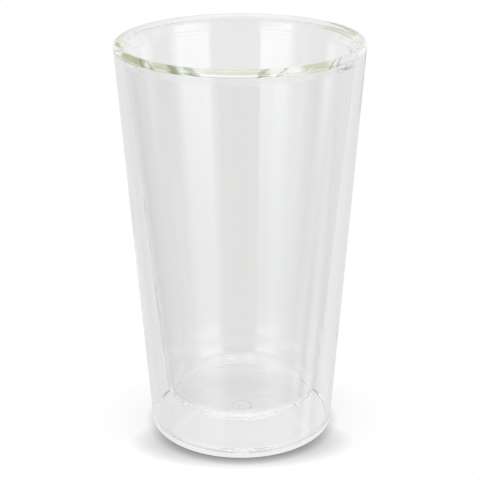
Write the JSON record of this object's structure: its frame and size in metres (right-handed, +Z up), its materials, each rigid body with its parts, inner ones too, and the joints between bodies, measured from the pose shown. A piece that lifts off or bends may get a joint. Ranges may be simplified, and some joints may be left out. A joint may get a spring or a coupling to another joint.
{
  "type": "double-walled tumbler",
  "caption": "Tall tapered drinking glass with a clear outer shell, an inner cup hung inside it on a rounded fused rim, and sealed air between the walls for insulation.",
  "frame": {"origin": "centre of the standing plane, on the axis of the glass", "axes": "+Z up along the axis of the glass, from the base to the mouth; +X and +Y are free because the glass is round"},
  "size_m": [0.0852, 0.0852, 0.142],
  "materials": {
    "clear_glass": "polished",
    "rim_glass": "fire polished"
  },
  "bodies": {
    "root": {"outer_shell": "clear_glass", "inner_cup": "clear_glass", "fused_rim": "rim_glass", "vent_seal": "clear_glass"}
  },
  "joints": []
}
